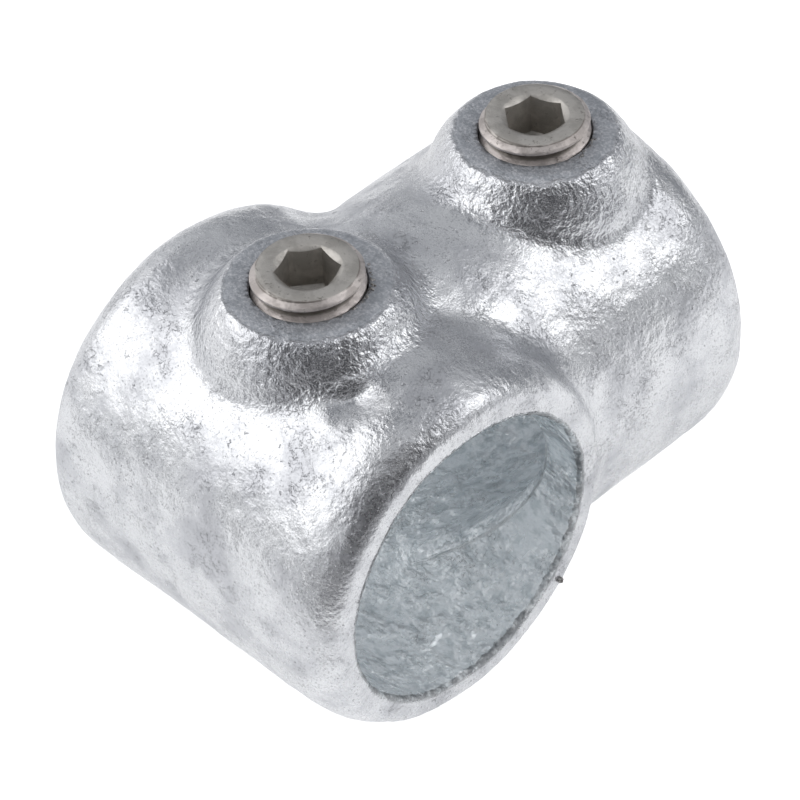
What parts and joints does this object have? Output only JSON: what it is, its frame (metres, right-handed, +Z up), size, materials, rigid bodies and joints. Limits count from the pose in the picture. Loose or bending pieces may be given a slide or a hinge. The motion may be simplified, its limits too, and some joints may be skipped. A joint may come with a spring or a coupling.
{
  "type": "tube clamp tee",
  "caption": "Short cast tee that joins structural tube at a right angle: a through collar and a stem socket, each locked by a cup-point socket set screw on a raised boss.",
  "frame": {"origin": "where the axis of the collar bore and the axis of the stem socket cross, under the collar's set screw", "axes": "+X out of the collar's longer end along its bore, +Y out of the stem socket, +Z up along the set screws"},
  "size_m": [0.0365, 0.0563, 0.0402],
  "materials": {
    "galvanised_casting": "hot-dip galvanised over a sand-cast skin, bright grey and rippled",
    "screw_steel": "turned steel, plated, warm grey and slightly dull"
  },
  "bodies": {
    "casting": {"casting": "galvanised_casting"},
    "collar_screw": {"collar_set_screw": "screw_steel"},
    "stem_screw": {"stem_set_screw": "screw_steel"}
  },
  "joints": [
    {"name": "collar_screw_travel", "type": "slide", "parent": "casting", "child": "collar_screw", "axis": [0, 0, 1], "range_m": [-0.00085, 0.003]},
    {"name": "stem_screw_travel", "type": "slide", "parent": "casting", "child": "stem_screw", "axis": [0, 0, 1], "range_m": [-0.00085, 0.003]}
  ]
}
